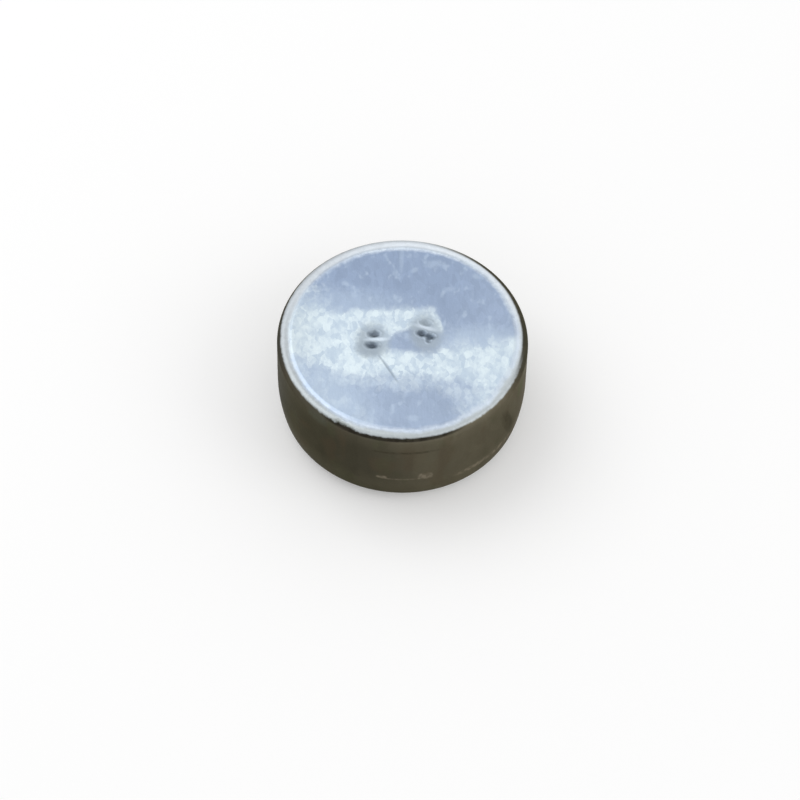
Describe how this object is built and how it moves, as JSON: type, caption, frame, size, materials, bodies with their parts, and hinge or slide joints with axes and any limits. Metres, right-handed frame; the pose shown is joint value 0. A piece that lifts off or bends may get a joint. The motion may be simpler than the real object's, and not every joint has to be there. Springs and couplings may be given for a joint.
{
  "type": "lithium coin cell",
  "caption": "Thick round lithium coin cell with a crimped steel can, a sealed cap and a wound electrode roll inside.",
  "frame": {"origin": "centre of the cap's flat contact face, on which the cell stands", "axes": "+Z along the cell's axis, from the cap up to the can's closed end; +X to the right as the picture shows the cell"},
  "size_m": [0.012, 0.012, 0.0054],
  "materials": {
    "can_steel": "satin",
    "gasket_plastic": "moulded",
    "cap_steel": "satin",
    "electrode_coating": "matt",
    "tape_film": "gloss",
    "positive_strip": "rolled",
    "negative_strip": "rolled",
    "insulator_film": "satin"
  },
  "bodies": {
    "root": {"can": "can_steel", "gasket": "gasket_plastic", "cap": "cap_steel", "electrode_roll": "electrode_coating", "closing_tape": "tape_film", "positive_tab": "positive_strip", "negative_tab": "negative_strip", "upper_insulator": "insulator_film", "lower_insulator": "insulator_film"}
  },
  "joints": []
}
